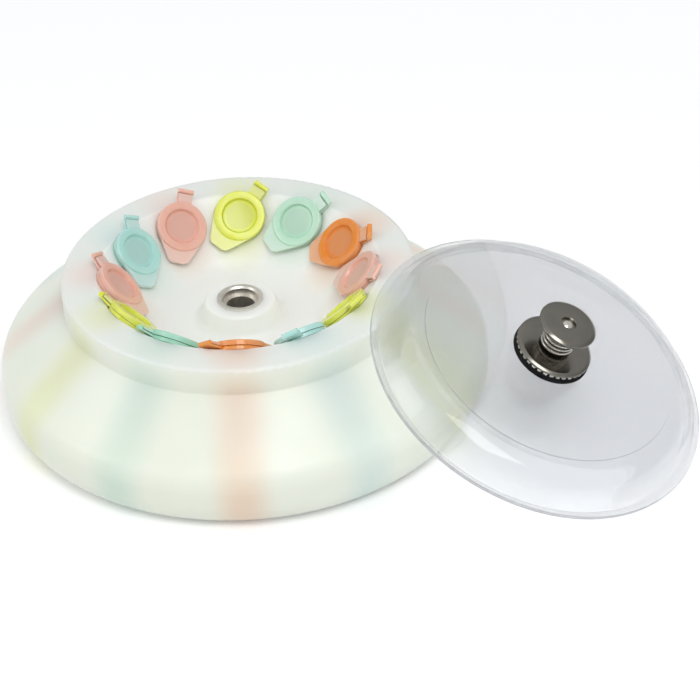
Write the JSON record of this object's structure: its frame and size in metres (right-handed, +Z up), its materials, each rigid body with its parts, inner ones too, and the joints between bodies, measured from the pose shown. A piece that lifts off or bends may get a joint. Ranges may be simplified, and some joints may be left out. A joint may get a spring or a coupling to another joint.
{
  "type": "microcentrifuge rotor",
  "caption": "Slanted-well rotor holding snap-cap sample tubes, with its clear lid off and leaning on it; the lid has a sprung push-button lock.",
  "frame": {"origin": "where the rotor's spin axis meets the bench, at the foot of the drive bore", "axes": "+Z up along the spin axis, +X from the axis toward the side where the lid leans, +Y away from the viewer"},
  "size_m": [0.1691, 0.1294, 0.0404],
  "materials": {
    "rotor_plastic": "milky, soft sheen",
    "bushing_steel": "turned",
    "plastic_pink": "tinted, see-through",
    "plastic_orange": "tinted, see-through",
    "plastic_aqua": "tinted, see-through",
    "plastic_lime": "tinted, see-through",
    "plastic_blue": "tinted, see-through",
    "plastic_teal": "tinted, see-through",
    "lid_clear": "clear, polished",
    "gasket_rubber": "matt",
    "washer_steel": "plated",
    "flange_nickel": "polished",
    "ball_steel": "polished",
    "nut_steel": "plated",
    "spring_steel": "drawn wire",
    "button_nickel": "polished",
    "rivet_steel": "polished"
  },
  "bodies": {
    "rotor": {"rotor_body": "rotor_plastic", "hub_bushing": "bushing_steel"},
    "tube_01": {"tube_01": "plastic_pink"},
    "cap_01": {"cap_01": "plastic_pink"},
    "tube_02": {"tube_02": "plastic_orange"},
    "cap_02": {"cap_02": "plastic_orange"},
    "tube_03": {"tube_03": "plastic_aqua"},
    "cap_03": {"cap_03": "plastic_aqua"},
    "tube_04": {"tube_04": "plastic_lime"},
    "cap_04": {"cap_04": "plastic_lime"},
    "tube_05": {"tube_05": "plastic_pink"},
    "cap_05": {"cap_05": "plastic_pink"},
    "tube_06": {"tube_06": "plastic_blue"},
    "cap_06": {"cap_06": "plastic_blue"},
    "tube_07": {"tube_07": "plastic_pink"},
    "cap_07": {"cap_07": "plastic_pink"},
    "tube_08": {"tube_08": "plastic_lime"},
    "cap_08": {"cap_08": "plastic_lime"},
    "tube_09": {"tube_09": "plastic_teal"},
    "cap_09": {"cap_09": "plastic_teal"},
    "tube_10": {"tube_10": "plastic_orange"},
    "cap_10": {"cap_10": "plastic_orange"},
    "tube_11": {"tube_11": "plastic_blue"},
    "cap_11": {"cap_11": "plastic_blue"},
    "tube_12": {"tube_12": "plastic_lime"},
    "cap_12": {"cap_12": "plastic_lime"},
    "lid": {"lid_shell": "lid_clear", "lid_gasket": "gasket_rubber", "tooth_washer": "washer_steel", "lock_sleeve": "flange_nickel", "lock_balls": "ball_steel", "ring_nut": "nut_steel", "button_spring": "spring_steel"},
    "button": {"lid_button": "button_nickel", "button_rivet": "rivet_steel"}
  },
  "joints": [
    {"name": "tube_01_lift", "type": "slide", "parent": "rotor", "child": "tube_01", "axis": [-0.7071, 0, 0.7071], "range_m": [0, 0.091]},
    {"name": "cap_01_open", "type": "hinge", "parent": "tube_01", "child": "cap_01", "pos_m": [0.0335, -0.00665, 0.0356], "axis": [0.5, 0.7071, 0.5], "range_deg": [0, 110]},
    {"name": "tube_02_lift", "type": "slide", "parent": "rotor", "child": "tube_02", "axis": [-0.6124, -0.3536, 0.7071], "range_m": [0, 0.091]},
    {"name": "cap_02_open", "type": "hinge", "parent": "tube_02", "child": "cap_02", "pos_m": [0.03234, 0.01114, 0.03568], "axis": [0.0657, 0.8686, 0.4912], "range_deg": [0, 110]},
    {"name": "tube_03_lift", "type": "slide", "parent": "rotor", "child": "tube_03", "axis": [-0.3536, -0.6124, 0.7071], "range_m": [0, 0.091]},
    {"name": "cap_03_open", "type": "hinge", "parent": "tube_03", "child": "cap_03", "pos_m": [0.02187, 0.02683, 0.03628], "axis": [-0.4928, 0.7645, 0.4156], "range_deg": [0, 110]},
    {"name": "tube_04_lift", "type": "slide", "parent": "rotor", "child": "tube_04", "axis": [0, -0.7071, 0.7071], "range_m": [0, 0.091]},
    {"name": "cap_04_open", "type": "hinge", "parent": "tube_04", "child": "cap_04", "pos_m": [0.00579, 0.03404, 0.03614], "axis": [-0.788, 0.4353, 0.4353], "range_deg": [0, 110]},
    {"name": "tube_05_lift", "type": "slide", "parent": "rotor", "child": "tube_05", "axis": [0.3536, -0.6124, 0.7071], "range_m": [0, 0.091]},
    {"name": "cap_05_open", "type": "hinge", "parent": "tube_05", "child": "cap_05", "pos_m": [-0.01321, 0.03227, 0.03666], "axis": [-0.9268, -0.1268, 0.3536], "range_deg": [0, 110]},
    {"name": "tube_06_lift", "type": "slide", "parent": "rotor", "child": "tube_06", "axis": [0.6124, -0.3536, 0.7071], "range_m": [0, 0.091]},
    {"name": "cap_06_open", "type": "hinge", "parent": "tube_06", "child": "cap_06", "pos_m": [-0.02658, 0.02203, 0.03614], "axis": [-0.771, -0.4648, 0.4353], "range_deg": [0, 110]},
    {"name": "tube_07_lift", "type": "slide", "parent": "rotor", "child": "tube_07", "axis": [0.7071, 0, 0.7071], "range_m": [0, 0.091]},
    {"name": "cap_07_open", "type": "hinge", "parent": "tube_07", "child": "cap_07", "pos_m": [-0.03424, 0.00539, 0.03635], "axis": [-0.4056, -0.8192, 0.4056], "range_deg": [0, 110]},
    {"name": "tube_08_lift", "type": "slide", "parent": "rotor", "child": "tube_08", "axis": [0.6124, 0.3536, 0.7071], "range_m": [0, 0.091]},
    {"name": "cap_08_open", "type": "hinge", "parent": "tube_08", "child": "cap_08", "pos_m": [-0.03224, -0.0103, 0.03517], "axis": [-0.1477, -0.8275, 0.5417], "range_deg": [0, 110]},
    {"name": "tube_09_lift", "type": "slide", "parent": "rotor", "child": "tube_09", "axis": [0.3536, 0.6124, 0.7071], "range_m": [0, 0.091]},
    {"name": "cap_09_open", "type": "hinge", "parent": "tube_09", "child": "cap_09", "pos_m": [-0.02297, -0.02439, 0.03472], "axis": [0.2071, -0.7884, 0.5792], "range_deg": [0, 110]},
    {"name": "tube_10_lift", "type": "slide", "parent": "rotor", "child": "tube_10", "axis": [0, 0.7071, 0.7071], "range_m": [0, 0.091]},
    {"name": "cap_10_open", "type": "hinge", "parent": "tube_10", "child": "cap_10", "pos_m": [-0.00741, -0.03289, 0.03499], "axis": [0.6157, -0.5572, 0.5572], "range_deg": [0, 110]},
    {"name": "tube_11_lift", "type": "slide", "parent": "rotor", "child": "tube_11", "axis": [-0.3536, 0.6124, 0.7071], "range_m": [0, 0.091]},
    {"name": "cap_11_open", "type": "hinge", "parent": "tube_11", "child": "cap_11", "pos_m": [0.01245, -0.03235, 0.03635], "axis": [0.9122, 0.0583, 0.4056], "range_deg": [0, 110]},
    {"name": "tube_12_lift", "type": "slide", "parent": "rotor", "child": "tube_12", "axis": [-0.6124, 0.3536, 0.7071], "range_m": [0, 0.091]},
    {"name": "cap_12_open", "type": "hinge", "parent": "tube_12", "child": "cap_12", "pos_m": [0.02817, -0.02085, 0.03693], "axis": [0.712, 0.6355, 0.2988], "range_deg": [0, 110]},
    {"name": "lid_lift", "type": "slide", "parent": "rotor", "child": "lid", "axis": [0, 0, 1], "range_m": [0, 0.04]},
    {"name": "button_press", "type": "slide", "parent": "lid", "child": "button", "axis": [-0.3735, 0.2182, -0.9016], "range_m": [0, 0.0026], "stiffness_N_per_m": 300, "deforming": ["button_spring"]}
  ]
}
